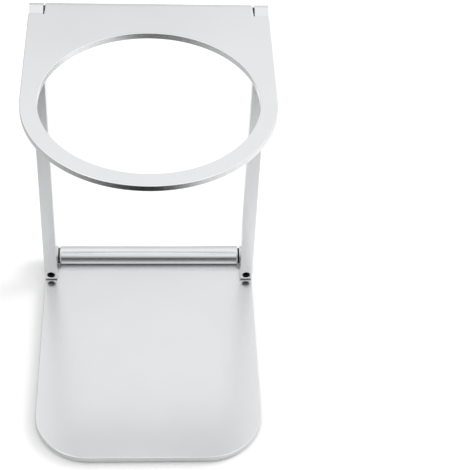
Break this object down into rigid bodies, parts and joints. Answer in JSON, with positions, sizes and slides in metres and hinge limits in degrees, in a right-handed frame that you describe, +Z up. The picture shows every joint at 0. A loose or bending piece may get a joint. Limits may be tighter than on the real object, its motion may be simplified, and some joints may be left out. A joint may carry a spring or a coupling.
{
  "type": "pour over dripper stand",
  "caption": "Folding metal stand: a flat base plate, hinged legs and a ring plate whose round hole holds a pour over dripper above a jug.",
  "frame": {"origin": "on the surface that the stand rests on, under the middle of the open stand's outline", "axes": "+X to the stand's right seen from the front, +Y to the rear where the hinges are, +Z up"},
  "size_m": [0.11, 0.1386, 0.1684],
  "materials": {
    "anodised_aluminium": "bead-blasted and clear anodised, satin",
    "shaft_steel": "ground steel",
    "black_oxide_steel": "black oxide",
    "black_nylon": "moulded black nylon",
    "foot_rubber": "matt black rubber"
  },
  "bodies": {
    "base": {"base_plate": "anodised_aluminium", "foot_front_left": "foot_rubber", "foot_front_right": "foot_rubber", "foot_rear_left": "foot_rubber", "foot_rear_right": "foot_rubber", "washer_lower_left": "black_nylon", "washer_lower_right": "black_nylon"},
    "legs": {"left_leg": "anodised_aluminium", "right_leg": "anodised_aluminium", "lower_shaft": "shaft_steel", "upper_shaft": "shaft_steel", "set_screw_lower_left": "black_oxide_steel", "set_screw_lower_right": "black_oxide_steel", "set_screw_upper_left": "black_oxide_steel", "set_screw_upper_right": "black_oxide_steel"},
    "ring": {"ring_plate": "anodised_aluminium", "washer_upper_left": "black_nylon", "washer_upper_right": "black_nylon"}
  },
  "joints": [
    {"name": "lower_hinge", "type": "hinge", "parent": "legs", "child": "base", "pos_m": [0, 0.06415, 0.0062], "axis": [1, 0, 0], "range_deg": [0, 268]},
    {"name": "upper_hinge", "type": "hinge", "parent": "legs", "child": "ring", "pos_m": [0, 0.06415, 0.1632], "axis": [-1, 0, 0], "range_deg": [0, 271]}
  ]
}
